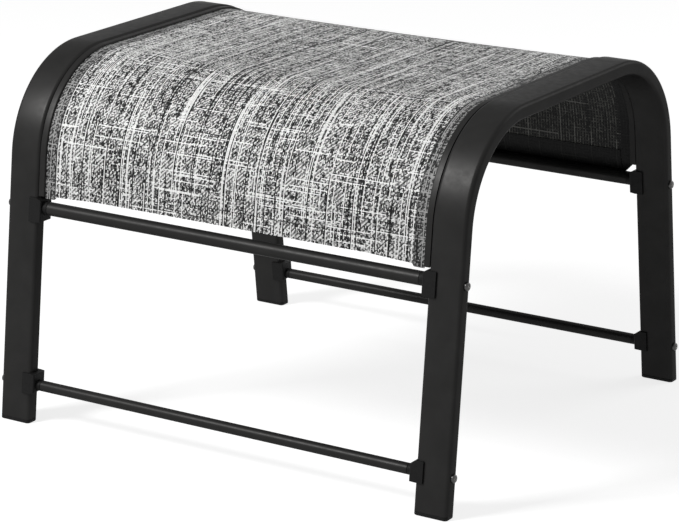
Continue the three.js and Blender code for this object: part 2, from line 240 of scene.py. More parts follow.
class FrameLine:
    """The side frame's line, or one at a level above it, measured from the middle of the top."""

    def __init__(self, level=0.0):
        self.radius = line_radius + level
        self.bend = self.radius * steepest

    def at(self, distance):
        """The point, the direction out of the bend and the direction onwards."""
        end = math.copysign(1.0, distance)
        reach = abs(distance)
        turn = min(max((reach - bend_y) / self.radius, 0.0), steepest)
        rest = max(reach - bend_y - self.bend, 0.0)
        y = min(reach, bend_y) + self.radius * math.sin(turn) + rest * math.cos(turn)
        z = bend_z + self.radius * math.cos(turn) - rest * math.sin(turn)
        out = Vector((0.0, end * math.sin(turn), math.cos(turn)))
        along = Vector((0.0, math.cos(turn), -end * math.sin(turn)))
        return Vector((0.0, end * y, z)), out, along

    def reach_to(self, height):
        """How far along the line the leg comes down to a height."""
        bend_end = bend_z + self.radius * math.cos(steepest)
        return bend_y + self.bend + (bend_end - height) / math.sin(steepest)

    def stations(self, front_height, rear_height):
        """Distances from the front end to the rear end, close together in the bends."""
        bend = [bend_y + self.bend * i / BEND_RINGS for i in range(BEND_RINGS + 1)]
        front = [self.reach_to(front_height), *reversed(bend)]
        return [-d for d in front] + bend + [self.reach_to(rear_height)]


# Meshes


def add_mesh(name, points, faces, smooth_angle=SMOOTH_ANGLE):
    mesh = bpy.data.meshes.new(name)
    mesh.from_pydata([tuple(p) for p in points], [], faces)
    mesh.validate()
    made = bmesh.new()
    made.from_mesh(mesh)
    bmesh.ops.recalc_face_normals(made, faces=made.faces)
    for face in made.faces:
        face.smooth = True
    for edge in made.edges:
        edge.smooth = len(edge.link_faces) == 2 and edge.calc_face_angle(0.0) < smooth_angle
    made.to_mesh(mesh)
    made.free()
    piece = bpy.data.objects.new(name, mesh)
    bpy.context.scene.collection.objects.link(piece)
    return piece


def loft(rings, close_ends=True, close_loop=False):
    """Points and faces of a skin over rings of equal count."""
    count = len(rings[0])
    points = [p for ring in rings for p in ring]
    faces = []
    for row in range(len(rings) if close_loop else len(rings) - 1):
        here, there = row * count, (row + 1) % len(rings) * count
        for i in range(count):
            j = (i + 1) % count
            faces.append((here + i, here + j, there + j, there + i))
    if close_ends and not close_loop:
        last = (len(rings) - 1) * count
        faces.append(tuple(range(count)))
        faces.append(tuple(range(last, last + count)))
    return points, faces


def joined(*forms):
    """Several forms' points and faces as one."""
    points, faces = [], []
    for form_points, form_faces in forms:
        shift = len(points)
        points += form_points
        faces += [tuple(i + shift for i in face) for face in form_faces]
    return points, faces


def rounded_outline(width, depth, radius, steps=CORNER_STEPS):
    points = []
    for quarter, (sx, sy) in enumerate(((1, 1), (-1, 1), (-1, -1), (1, -1))):
        for i in range(steps + 1):
            angle = (quarter + i / steps) * math.pi / 2
            x = sx * (width / 2 - radius) + radius * math.cos(angle)
            y = sy * (depth / 2 - radius) + radius * math.sin(angle)
            points.append((x, y))
    return points


def tube_outline(growth=0.0):
    return rounded_outline(
        tube_width + 2 * growth, TUBE_DEPTH + 2 * growth, TUBE_CORNER + growth
    )


def swept_rings(section, centre_x, front_height, rear_height, cut_level=None):
    """Rings of a section along the frame line. cut_level cuts both ends level at a height."""
    line = FrameLine()
    rings = []
    stations = line.stations(front_height, rear_height)
    for distance in stations:
        point, out, along = line.at(distance)
        ring = []
        for across, level in section:
            p = point + out * level + Vector((centre_x + across, 0.0, 0.0))
            if cut_level is not None and distance in (stations[0], stations[-1]):
                p += along * ((cut_level - p.z) / along.z)
            ring.append(p)
        rings.append(ring)
    return rings


def round_ring(x, radius, sides=ROUND_SIDES):
    angles = [2 * math.pi * i / sides for i in range(sides)]
    return [Vector((x, radius * math.cos(a), radius * math.sin(a))) for a in angles]


def hexagon_ring(x, across, sides=ROUND_SIDES):
    """A ring on a hexagon, with a point on each corner. sides is a multiple of six."""
    ring = []
    for i in range(sides):
        angle = 2 * math.pi * i / sides
        off_flat = (angle % (math.pi / 3)) - math.pi / 6
        radius = across / 2 / math.cos(off_flat)
        ring.append(Vector((x, radius * math.cos(angle), radius * math.sin(angle))))
    return ring


def moved(form, place, flip=1.0):
    """A form carried to its place, after its x is multiplied by flip."""
    points, faces = form
    return [Vector((flip * p.x, p.y, p.z)) + place for p in points], faces


def dress(piece, material, slot, *nodes):
    piece.data.materials.append(material)
    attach(piece, "root")
    if nodes:
        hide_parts(*nodes)
    return piece


# Materials


class Finish:
    """A material made of nodes round one shader."""

    def __init__(self, name, roughness, metallic=0.0, specular=0.5):
        self.material = bpy.data.materials.new(name)
        self.material.use_nodes = True
        self.shader = self.material.node_tree.nodes["Principled BSDF"]
        self.shader.inputs["Roughness"].default_value = roughness
        self.shader.inputs["Metallic"].default_value = metallic
        self.shader.inputs["Specular IOR Level"].default_value = specular

    def node(self, kind, **settings):
        made = self.material.node_tree.nodes.new(kind)
        for key, value in settings.items():
            setattr(made, key, value)
        return made

    def feed(self, value, socket):
        """Links an output to a socket, or sets the socket to a plain value."""
        if isinstance(value, bpy.types.NodeSocket):
            self.material.node_tree.links.new(value, socket)
        else:
            socket.default_value = value

    def maths(self, operation, *values, clamp=False):
        made = self.node("ShaderNodeMath", operation=operation, use_clamp=clamp)
        for value, socket in zip(values, made.inputs):
            self.feed(value, socket)
        return made.outputs[0]

    def vector(self, x, y, z=0.0):
        made = self.node("ShaderNodeCombineXYZ")
        for value, socket in zip((x, y, z), made.inputs):
            self.feed(value, socket)
        return made.outputs[0]

    def noise(self, scale, detail=2.0, place=None):
        made = self.node("ShaderNodeTexNoise")
        if place is None:
            place = self.node("ShaderNodeTexCoord").outputs["Object"]
        self.feed(place, made.inputs["Vector"])
        made.inputs["Scale"].default_value = scale
        made.inputs["Detail"].default_value = detail
        return made.outputs[0]

    def speckle(self, x, y):
        """A random number for each pair of whole numbers."""
        made = self.node("ShaderNodeTexWhiteNoise", noise_dimensions="2D")
        self.feed(self.vector(x, y), made.inputs["Vector"])
        return made.outputs[0]

    def spread(self, value, low, high):
        """Maps noise to the range from low to high."""
        made = self.node("ShaderNodeMapRange")
        made.inputs["From Min"].default_value = NOISE_RANGE[0]
        made.inputs["From Max"].default_value = NOISE_RANGE[1]
        made.inputs["To Min"].default_value = low
        made.inputs["To Max"].default_value = high
        self.feed(value, made.inputs["Value"])
        return made.outputs[0]

    def blend(self, share, first, second):
        made = self.node("ShaderNodeMix", data_type="RGBA")
        self.feed(share, made.inputs[MIX_SHARE])
        for value, at in ((first, MIX_FIRST), (second, MIX_SECOND)):
            if not isinstance(value, bpy.types.NodeSocket):
                value = (*value, 1.0)
            self.feed(value, made.inputs[at])
        return made.outputs[MIX_RESULT]

    def ramp(self, value, stops):
        made = self.node("ShaderNodeValToRGB")
        self.feed(value, made.inputs["Fac"])
        elements = made.color_ramp.elements
        while len(elements) < len(stops):
            elements.new(1.0)
        for element, (position, colour) in zip(elements, stops):
            element.position = position
            element.color = (*colour, 1.0)
        return made.outputs[0]

    def colour(self, value):
        self.feed(value, self.shader.inputs["Base Color"])

    def roughness(self, value):
        self.feed(value, self.shader.inputs["Roughness"])

    def bump(self, height, strength, distance):
        made = self.node("ShaderNodeBump")
        made.inputs["Strength"].default_value = strength
        made.inputs["Distance"].default_value = distance
        self.feed(height, made.inputs["Height"])
        self.feed(made.outputs[0], self.shader.inputs["Normal"])


def powder_coat_finish():
    """Satin powder coat with metal flake: slight orange peel, faintly uneven gloss.

    The dark tint keeps the pale floor out of the coat at grazing angles.
    """
    dark, light, tint = (0.0225, 0.0223, 0.0219), (0.0335, 0.033, 0.0325), (0.42, 0.42, 0.42)
    finish = Finish("satin_powder", roughness=0.4, metallic=0.44, specular=0.03)
    finish.shader.inputs["Specular Tint"].default_value = (*tint, 1.0)
    finish.colour(finish.blend(finish.noise(scale=45.0, detail=3.0), dark, light))
    gloss = finish.noise(scale=160.0, detail=3.0)
    finish.roughness(finish.spread(gloss, low=0.36, high=0.44))
    finish.bump(finish.noise(scale=900.0), strength=0.2, distance=0.0001)
    return finish.material


def moulding_finish(name, low, high):
    """Plastic with a fine grain, and a roughness from low to high."""
    dark, light = (0.005, 0.005, 0.005), (0.008, 0.0079, 0.0078)
    finish = Finish(name, roughness=(low + high) / 2, specular=0.13)
    finish.colour(finish.blend(finish.noise(scale=120.0, detail=3.0), dark, light))
    finish.roughness(finish.spread(finish.noise(scale=400.0, detail=4.0), low, high))
    finish.bump(finish.noise(scale=2600.0, detail=3.0), strength=0.3, distance=0.0001)
    return finish.material


def zinc_finish(name, dark, light):
    """Zinc plate, a little cloudy."""
    finish = Finish(name, roughness=0.3, metallic=1.0)
    finish.colour(finish.blend(finish.noise(scale=700.0, detail=4.0), dark, light))
    gloss = finish.noise(scale=1500.0, detail=3.0)
    finish.roughness(finish.spread(gloss, low=0.22, high=0.42))
    finish.bump(finish.noise(scale=3000.0), strength=0.15, distance=0.00005)
    return finish.material


def yarn_tone(finish, index, run, base, line_run, line_limits):
    """Tone of one yarn, and whether it lies over all it crosses as a pale or dark line."""
    lane = finish.maths("MULTIPLY", finish.speckle(index, base), LANE_SPREAD)
    dye_place = finish.vector(lane, finish.maths("DIVIDE", run, DYE_RUN))
    dyed = finish.noise(scale=1.0, detail=1.0, place=dye_place)
    speck = finish.speckle(lane, finish.maths("FLOOR", finish.maths("DIVIDE", run, SPECK_RUN)))
    line_place = finish.vector(lane, finish.maths("DIVIDE", run, line_run), LINE_LEVEL)
    line = finish.noise(scale=1.0, detail=0.0, place=line_place)
    dark = finish.maths("LESS_THAN", line, line_limits[0])
    pale = finish.maths("GREATER_THAN", line, line_limits[1])
    tone = finish.maths("MULTIPLY_ADD", dyed, DYE_WEIGHT, base - DYE_WEIGHT / 2)
    fleck = finish.maths("MULTIPLY_ADD", speck, SPECK_WEIGHT, -SPECK_WEIGHT / 2)
    tone = finish.maths("ADD", tone, fleck)
    change = finish.maths("SUBTRACT", pale, dark)
    tone = finish.maths("MULTIPLY_ADD", change, LINE_WEIGHT, tone)
    return finish.maths("ADD", tone, 0.0, clamp=True), finish.maths("MAXIMUM", pale, dark)


def stitching(finish, across, along, lines):
    """One where a thread lies: dashes along lines given as (whether it runs along, place)."""
    found = 0.0
    for runs_along, place in lines:
        off, run = (across, along) if runs_along else (along, across)
        near = finish.maths("COMPARE", off, place, STITCH_HALF_WIDTH)
        phase = finish.maths("FRACT", finish.maths("DIVIDE", run, STITCH_PITCH))
        dash = finish.maths("MULTIPLY", near, finish.maths("LESS_THAN", phase, STITCH_SHARE))
        found = finish.maths("MAXIMUM", found, dash)
    return found


def weave_finish(name, pitch, yarn_share, stops, gap_shade, stitch_lines=(), painted_shade_start=None):
    """Twill of coated yarns over painted shade in the gaps between them, from the cloth's own
    flat coordinates.
    """
    finish = Finish(name, roughness=0.6, specular=0.15)
    place = finish.node("ShaderNodeUVMap", uv_map="weave").outputs[0]
    split = finish.node("ShaderNodeSeparateXYZ")
    finish.feed(place, split.inputs[0])
    across, along = split.outputs["X"], split.outputs["Y"]
    column_at = finish.maths("DIVIDE", across, pitch)
    row_at = finish.maths("DIVIDE", along, pitch)
    column, row = finish.maths("FLOOR", column_at), finish.maths("FLOOR", row_at)
    in_column, in_row = finish.maths("FRACT", column_at), finish.maths("FRACT", row_at)

    on_warp = finish.maths("LESS_THAN", in_column, yarn_share)
    on_weft = finish.maths("LESS_THAN", in_row, yarn_share)
    warp_kind = (WARP_BASE, WARP_LINE_RUN, WARP_LINE_LIMITS)
    weft_kind = (WEFT_BASE, WEFT_LINE_RUN, WEFT_LINE_LIMITS)
    warp_tone, warp_line = yarn_tone(finish, column, along, *warp_kind)
    weft_tone, weft_line = yarn_tone(finish, row, across, *weft_kind)
    twill = finish.maths("FLOORED_MODULO", finish.maths("SUBTRACT", column, row), TWILL_REPEAT)
    weft_over = finish.maths("LESS_THAN", twill, TWILL_REPEAT / 2 - TWILL_MARGIN)
    weft_over = finish.maths("MAXIMUM", weft_over, weft_line)
    weft_over = finish.maths("SUBTRACT", weft_over, warp_line, clamp=True)
    weft_over = finish.maths("MAXIMUM", weft_over, finish.maths("SUBTRACT", 1.0, on_warp))
    weft_shown = finish.maths("MULTIPLY", on_weft, weft_over)
    yarn_shown = finish.maths("MAXIMUM", on_warp, on_weft)

    warp, weft = finish.ramp(warp_tone, stops), finish.ramp(weft_tone, stops)
    yarn = finish.blend(weft_shown, warp, weft)
    cloth = finish.blend(yarn_shown, gap_shade, yarn)
    # Painted shade: past this distance across, towards the rails, the cloth is darkened towards
    # the dark of its gaps.
    if painted_shade_start is not None:
        in_painted_shade = finish.maths("GREATER_THAN", finish.maths("ABSOLUTE", across), painted_shade_start)
        cloth = finish.blend(finish.maths("MULTIPLY", in_painted_shade, PAINTED_MARGIN_SHADE), cloth, gap_shade)
    if stitch_lines:
        thread = stitching(finish, across, along, stitch_lines)
        cloth = finish.blend(thread, cloth, THREAD_COLOUR)
    finish.colour(cloth)

    half_turn = math.pi / yarn_share
    warp_rise = finish.maths("SINE", finish.maths("MULTIPLY", in_column, half_turn))
    weft_rise = finish.maths("SINE", finish.maths("MULTIPLY", in_row, half_turn))
    change = finish.maths("SUBTRACT", weft_rise, warp_rise)
    rise = finish.maths("MULTIPLY_ADD", change, weft_shown, warp_rise)
    finish.bump(finish.maths("MULTIPLY", rise, yarn_shown), YARN_RELIEF, YARN_HEIGHT)
    return finish.material


OUTER_TONES = (
    (0.0, (0.006, 0.006, 0.006)),
    (0.43, (0.016, 0.016, 0.016)),
    (0.51, (0.42, 0.42, 0.417)),
    (0.58, (0.9, 0.9, 0.89)),
    (1.0, (0.96, 0.96, 0.95)),
)
# The underside's yarns are painted far darker than the top's: painted shade under the sheet.
INNER_SHADED_TONES = (
    (0.0, (0.012, 0.012, 0.012)),
    (0.35, (0.04, 0.04, 0.038)),
    (0.6, (0.13, 0.13, 0.12)),
    (1.0, (0.24, 0.24, 0.225)),
)
# The hems are painted near black: painted shade under the cloth.
HEM_SHADED_TONES = (
    (0.0, (0.003, 0.003, 0.003)),
    (0.6, (0.005, 0.005, 0.005)),
    (1.0, (0.018, 0.018, 0.017)),
)

cloth_line = FrameLine(sling_level)
front_reach = cloth_line.reach_to(FRONT_EDGE)
rear_reach = cloth_line.reach_to(REAR_EDGE)
stitch_lines = (
    (True, -SIDE_HEM_START - STITCH_INSET),
    (True, SIDE_HEM_START + STITCH_INSET),
    (False, FRONT_HEM_LENGTH - front_reach - STITCH_INSET),
    (False, rear_reach - REAR_HEM_LENGTH + STITCH_INSET),
)

powder_coat = powder_coat_finish()
moulding = moulding_finish("matte_moulding", low=0.52, high=0.68)
extruded = moulding_finish("smooth_extrusion", low=0.3, high=0.42)
bright_zinc = zinc_finish("bright_zinc", dark=(0.42, 0.43, 0.45), light=(0.6, 0.59, 0.55))
dark_zinc = zinc_finish("dark_zinc", dark=(0.05, 0.05, 0.051), light=(0.1, 0.099, 0.096))
# Painted shade: the dark that shows through the gaps between the yarns
outer_gap_shade, inner_gap_shade = (0.012, 0.012, 0.012), (0.003, 0.003, 0.003)
outer_weave = weave_finish(
    "sling_weave",
    OUTER_PITCH,
    OUTER_YARN_SHARE,
    OUTER_TONES,
    outer_gap_shade,
    stitch_lines,
    painted_shade_start=SIDE_HEM_START,
)
inner_look = (INNER_PITCH, INNER_YARN_SHARE)
shaded_underside_weave = weave_finish("sling_underside_painted_shade", *inner_look, INNER_SHADED_TONES, inner_gap_shade)
shaded_hem_weave = weave_finish("sling_hem_painted_shade", *inner_look, HEM_SHADED_TONES, inner_gap_shade)


# Camera


def add_camera():
    azimuth, elevation = CAMERA_AZIMUTH, CAMERA_ELEVATION
    right = Vector((math.cos(azimuth), math.sin(azimuth), 0.0))
    back = Vector(
        (
            math.sin(azimuth) * math.cos(elevation),
            -math.cos(azimuth) * math.cos(elevation),
            math.sin(elevation),
        )
    )
    up = back.cross(right)
    turned_right = right * math.cos(CAMERA_ROLL) + up * math.sin(CAMERA_ROLL)
    turned_up = up * math.cos(CAMERA_ROLL) - right * math.sin(CAMERA_ROLL)
    place = Matrix((turned_right, turned_up, back)).transposed().to_4x4()
    place.translation = CAMERA_TARGET + back * CAMERA_DISTANCE
    lens = bpy.data.cameras.new("photo_camera")
    lens.lens = CAMERA_LENS
    lens.sensor_width = CAMERA_SENSOR
    lens.sensor_fit = "HORIZONTAL"
    camera = bpy.data.objects.new("photo_camera", lens)
    camera.matrix_world = place
    bpy.context.scene.collection.objects.link(camera)
    bpy.context.scene.camera = camera


# Side frames and rails


def build_tube(side, centre):
    foot = SOLE_THICKNESS + SEAT_GAP
    outer = swept_rings(tube_outline(), centre, foot, foot, cut_level=foot)
    inner = swept_rings(tube_outline(-TUBE_WALL), centre, foot, foot, cut_level=foot)
    points, faces = joined(loft(outer, close_ends=False), loft(inner, close_ends=False))
    count, rows = len(outer[0]), len(outer)
    shift = count * rows
    for row in (0, rows - 1):
        for i in range(count):
            j = (i + 1) % count
            a, b = row * count + i, row * count + j
            faces.append((a, b, b + shift, a + shift))
    tube = add_mesh(f"{side}_frame_tube", points, faces)
    dress(tube, powder_coat, "powder_coat", f"{side}_side_frame")


def rail_section(inward):
    bottom = rail_top - RAIL_DEPTH
    lip_top = sling_level + RAIL_SLOT / 2
    lip_bottom = sling_level - RAIL_SLOT / 2
    bore = RAIL_BORE / 2
    mouth_top = math.asin((lip_top - bore_level) / bore)
    mouth_bottom = math.asin((lip_bottom - bore_level) / bore)
    corner_x = rail_far - RAIL_CORNER
    points = []

    def arc(x, y, radius, start, stop, steps):
        for i in range(steps + 1):
            angle = start + (stop - start) * i / steps
            points.append((x + radius * math.cos(angle), y + radius * math.sin(angle)))

    points.append((rail_far, lip_top))
    arc(corner_x, rail_top - RAIL_CORNER, RAIL_CORNER, 0.0, math.pi / 2, CORNER_STEPS)
    points.append((inner_face, rail_top))
    points.append((inner_face, bottom))
    arc(corner_x, bottom + RAIL_CORNER, RAIL_CORNER, -math.pi / 2, 0.0, CORNER_STEPS)
    points.append((rail_far, lip_bottom))
    arc(bore_centre, bore_level, bore, mouth_bottom, mouth_top - 2 * math.pi, 2 * CORNER_STEPS)
    return [(inward * x, y) for x, y in points]


def build_rail(side, sign):
    rings = swept_rings(rail_section(-sign), sign * side_x, RAIL_FRONT, RAIL_REAR)
    rail = add_mesh(f"{side}_rail_profile", *loft(rings))
    dress(rail, powder_coat, "powder_coat", f"{side}_sling_rail")


# Cloth: a sheet with a hem folded under each edge


def eased(value, start, stop):
    """Goes smoothly from 0 at start to 1 at stop."""
    share = min(max((value - start) / (stop - start), 0.0), 1.0)
    return share * share * (3 - 2 * share)


def front_edge(x):
    """Height of the front edge. The side hems hang below it as small tabs."""
    reach = abs(x)
    if reach > cloth_stop:
        return EDGE_IN_RAIL
    droop = eased(reach, DROOP_START, END_HEM_STOP)
    tab = eased(reach, END_HEM_STOP, SIDE_HEM_START + TAB_TURN)
    edge = FRONT_EDGE + (FRONT_EDGE_BY_TAB - FRONT_EDGE) * droop
    return edge + (TAB_EDGE - edge) * tab


def rear_edge(x):
    """Height of the rear edge, which rises at its corners."""
    return max(REAR_EDGE, REAR_EDGE + abs(x) - CORNER_CUT_START)


def sheet_point(x, distance, depth):
    """A point depth under the middle of the cloth, which dips between its rails.

    Its rear end flares to pass behind the bar.
    """
    point, out, _ = cloth_line.at(distance)
    share = (distance + front_reach) / (front_reach + rear_reach)
    across = x / cloth_half
    dip = CLOTH_SAG * math.sin(math.pi * share) * (1 - across * across)
    flare = REAR_FLARE * eased(distance, rear_reach - REAR_FLARE_LENGTH, rear_reach)
    return point + out * (flare - dip - depth) + Vector((x, 0.0, 0.0))


def add_sheet(name, columns, rows, span_at, depths):
    """A thin closed sheet between two depths. span_at gives where it starts and stops at each x.

    Its outer face and rim have the first material, and its inner face the second.
    """
    points, places = [], []
    width = len(columns)
    for depth in depths:
        for row in range(rows + 1):
            for x in columns:
                start, stop = span_at(x)
                distance = start + (stop - start) * row / rows
                points.append(sheet_point(x, distance, depth))
                places.append((x, distance))
    lower = (rows + 1) * width
    faces = []
    for row in range(rows):
        for column in range(width - 1):
            a = row * width + column
            quad = (a, a + 1, a + width + 1, a + width)
            faces.append(quad)
            faces.append(tuple(i + lower for i in reversed(quad)))
    rim = list(range(width))
    rim += [row * width + width - 1 for row in range(1, rows + 1)]
    rim += [rows * width + column for column in range(width - 2, -1, -1)]
    rim += [row * width for row in range(rows - 1, 0, -1)]
    for i, a in enumerate(rim):
        b = rim[(i + 1) % len(rim)]
        faces.append((b, a, a + lower, b + lower))
    sheet = add_mesh(name, points, faces)
    layer = sheet.data.uv_layers.new(name="weave")
    for loop in sheet.data.loops:
        layer.data[loop.index].uv = places[loop.vertex_index]
    for face in sheet.data.polygons:
        face.material_index = 1 if min(face.vertices) >= lower else 0
    return sheet


def column_places(stop):
    """Columns from -stop to stop, close together near the edges, where the outline turns."""
    edge_start = min(EDGE_COLUMNS_START, stop)
    half = [edge_start * i / MIDDLE_COLUMNS for i in range(MIDDLE_COLUMNS + 1)]
    steps = max(1, round((stop - edge_start) / EDGE_COLUMN))
    half += [edge_start + (stop - edge_start) * i / steps for i in range(1, steps + 1)]
    return [-x for x in reversed(half[1:])] + half


def cloth_span(x):
    return -cloth_line.reach_to(front_edge(x)), cloth_line.reach_to(rear_edge(x))


def front_hem_span(x):
    start = cloth_span(x)[0]
    return start, FRONT_HEM_LENGTH - front_reach


def rear_hem_span(x):
    return rear_reach - REAR_HEM_LENGTH, cloth_span(x)[1]


def build_hem(name, columns, rows, span_at):
    top = CLOTH_THICKNESS / 2 + HEM_GAP
    hem = add_sheet(name, columns, rows, span_at, (top, top + HEM_THICKNESS))
    hem.data.materials.append(shaded_hem_weave)  # both faces of the sheet show the same weave
    return dress(hem, shaded_hem_weave, "woven_mesh")


def build_sling():
    half = CLOTH_THICKNESS / 2
    outer = [cloth_stop, cloth_stop + SLOT_COLUMN, cloth_half]
    columns = column_places(cloth_stop - SLOT_COLUMN)
    columns = [-x for x in reversed(outer)] + columns + outer
    cloth = add_sheet("sling_cloth", columns, CLOTH_ROWS, cloth_span, (-half, half))
    dress(cloth, outer_weave, "woven_mesh", "sling")
    cloth.data.materials.append(shaded_underside_weave)

    ends = column_places(END_HEM_STOP)
    steps = round((SIDE_HEM_STOP - SIDE_HEM_START) / EDGE_COLUMN)
    width = SIDE_HEM_STOP - SIDE_HEM_START
    right = [SIDE_HEM_START + width * i / steps for i in range(steps + 1)]
    left = [-x for x in reversed(right)]
    hems = [
        build_hem("front_hem", ends, HEM_ROWS, front_hem_span),
        build_hem("rear_hem", ends, HEM_ROWS, rear_hem_span),
        build_hem("left_side_hem", left, CLOTH_ROWS, cloth_span),
        build_hem("right_side_hem", right, CLOTH_ROWS, cloth_span),
    ]


# Crossbars, saddles, bolts and foot caps


def build_bar(end, level):
    name = f"{end}_{level}_bar"
    lo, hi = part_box(name)
    middle = (lo + hi) / 2
    length = hi.x - lo.x
    radius = (hi.z - lo.z) / 2
    inner = radius - BAR_WALL
    far, near = length / 2, length / 2 - BAR_EASING
    rings = [
        round_ring(-near, radius),
        round_ring(near, radius),
        round_ring(far, radius - BAR_EASING),
        round_ring(far, inner),
        round_ring(-far, inner),
        round_ring(-far, radius - BAR_EASING),
    ]
    form = moved(loft(rings, close_loop=True), Vector((0.0, middle.y, middle.z)))
    bar = add_mesh(f"{end}_{level}_bar_tube", *form)
    dress(bar, powder_coat, "powder_coat", name)


def leg_notch():
    """Where the saddle meets the leg: from the flange's tip round the tube's corner."""
    radius = TUBE_CORNER + SEAT_GAP
    corner_x = inner_face - radius
    corner_y = TUBE_DEPTH / 2 + SEAT_GAP - radius
    split = math.acos((tube_width / 2 - corner_x) / radius)
    turns = {0.0, split, math.pi / 2}
    turns |= {math.pi / 2 * i / CORNER_STEPS for i in range(1, CORNER_STEPS)}
    arc = {t: (corner_x + radius * math.cos(t), corner_y + radius * math.sin(t)) for t in turns}
    by_leg = [arc[t] for t in sorted(turns) if t >= split]
    by_bar = [arc[t] for t in sorted(turns) if t <= split]
    return by_leg, by_bar


def saddle_cells():
    """The saddle seen along the leg, as outlines: two flanges and the web between them."""
    by_leg, by_bar = leg_notch()
    tip = tube_width / 2 - SADDLE_WRAP
    fold = tube_width / 2
    half = TUBE_DEPTH / 2 + SEAT_GAP + SADDLE_FLANGE
    notch = TUBE_DEPTH / 2 + SEAT_GAP
    flange = [(tip, half), (fold, half), *by_leg, (tip, notch)]
    corner = (saddle_end - SADDLE_CORNER, half - SADDLE_CORNER)
    rounding = []
    for i in range(CORNER_STEPS + 1):
        turn = math.pi / 2 * i / CORNER_STEPS
        x = corner[0] + SADDLE_CORNER * math.cos(turn)
        rounding.append((x, corner[1] + SADDLE_CORNER * math.sin(turn)))
    upper = [*rounding, (fold, half), *reversed(by_bar)]
    lower = [(x, -y) for x, y in reversed(upper)]
    mirrored = [(x, -y) for x, y in reversed(flange)]
    outlines = (flange, mirrored, upper + lower)
    return [
        [(round(x, MATCH_DIGITS), round(y, MATCH_DIGITS)) for x, y in outline]
        for outline in outlines
    ]


def saddle_block(heights):
    """The saddle's block, with z from the bar's centre and x from the leg towards the bar."""
    top, bottom, end_top, end_bottom = heights
    fold = tube_width / 2

    def level_at(x, at_leg, at_end):
        share = max((x - fold) / (saddle_end - fold), 0.0)
        return at_leg + (at_end - at_leg) * share

    points, faces, index = [], [], {}
    cells = saddle_cells()
    for x, y in dict.fromkeys(place for cell in cells for place in cell):
        index[(x, y)] = len(points)
        points.append(Vector((x, y, level_at(x, top, end_top))))
        points.append(Vector((x, y, -level_at(x, bottom, end_bottom))))
    edges = set()
    for cell in cells:
        ring = [index[place] for place in cell]
        faces.append(tuple(ring))
        faces.append(tuple(i + 1 for i in reversed(ring)))
        edges |= set(zip(ring, ring[1:] + ring[:1]))
    for a, b in sorted(edges):
        if (b, a) not in edges:
            faces.append((a, b, b + 1, a + 1))
    return points, faces


def leaned(form, end):
    """An upright form leaned with a leg. end is -1 at the front and 1 at the rear."""
    points, faces = form
    lean = -end * math.tan(SPLAY)
    return [Vector((p.x, p.y / math.cos(SPLAY) + p.z * lean, p.z)) for p in points], faces


def build_saddle(leg, side, level, end, sign):
    lo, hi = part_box(f"{leg}_{level}_bolt")
    bar_lo, bar_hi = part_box(f"{leg.split('_')[0]}_{level}_bar")
    radius = (bar_hi.z - bar_lo.z) / 2
    rings = [
        round_ring(saddle_end - COLLAR_ROOT, radius),
        round_ring(saddle_end + COLLAR_LENGTH, radius),
    ]
    block = leaned(saddle_block(SADDLE_HEIGHTS[(level, side)]), end)
    height = (lo.z + hi.z) / 2
    place = Vector((sign * side_x, end * leg_y(height), height))
    form = moved(joined(block, loft(rings)), place, -sign)
    saddle = add_mesh(f"{leg}_{level}_saddle_block", *form, smooth_angle=SADDLE_SMOOTH_ANGLE)
    easing = saddle.modifiers.new("easing", "BEVEL")
    easing.width = SADDLE_BEVEL
    easing.segments = BEVEL_STEPS
    easing.limit_method = "ANGLE"
    easing.angle_limit = BEVEL_ANGLE
    saddle.modifiers.new("shading", "WEIGHTED_NORMAL").keep_sharp = True
    dress(saddle, moulding, "black_moulding", f"{leg}_{level}_saddle")


def bolt_form(length):
    """A button head with a hexagon socket, outwards along +x from its seat at x = 0."""
    rings = [round_ring(-length, SHANK_RADIUS), round_ring(0.0, SHANK_RADIUS)]
    rings.append(round_ring(0.0, HEAD_RADIUS - HEAD_EASING))
    rings.append(round_ring(HEAD_EASING, HEAD_RADIUS))
    for i in range(CORNER_STEPS + 1):
        turn = math.pi / 2 * i / CORNER_STEPS
        radius = HEAD_CROWN + (HEAD_RADIUS - HEAD_CROWN) * math.cos(turn)
        rings.append(round_ring(HEAD_RIM + (HEAD_HEIGHT - HEAD_RIM) * math.sin(turn), radius))
    rings.append(hexagon_ring(HEAD_HEIGHT, SOCKET_ACROSS + HEAD_EASING))
    rings.append(hexagon_ring(HEAD_HEIGHT - HEAD_EASING, SOCKET_ACROSS))
    rings.append(hexagon_ring(HEAD_HEIGHT - SOCKET_DEPTH, SOCKET_ACROSS))
    rings.append(round_ring(HEAD_HEIGHT - SOCKET_DEPTH - HEAD_EASING, HEAD_EASING))
    return loft(rings)


def build_bolt(leg, level, sign):
    name = f"{leg}_{level}_bolt"
    lo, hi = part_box(name)
    middle = (lo + hi) / 2
    seat = sign * (side_x + inner_face)
    tip = lo.x if sign > 0 else hi.x
    place = Vector((seat, middle.y, middle.z))
    form = moved(bolt_form(abs(tip - seat)), place, sign)
    bolt = add_mesh(f"{leg}_{level}_button_bolt", *form)
    dress(bolt, dark_zinc, "zinc_steel", name)
    bolt.data.materials.append(bright_zinc)
    for face in bolt.data.polygons:
        off = face.center - place
        if sign * off.x > 0 and math.hypot(off.y, off.z) < SOCKET_ACROSS / 2 + HEAD_EASING:
            face.material_index = 1


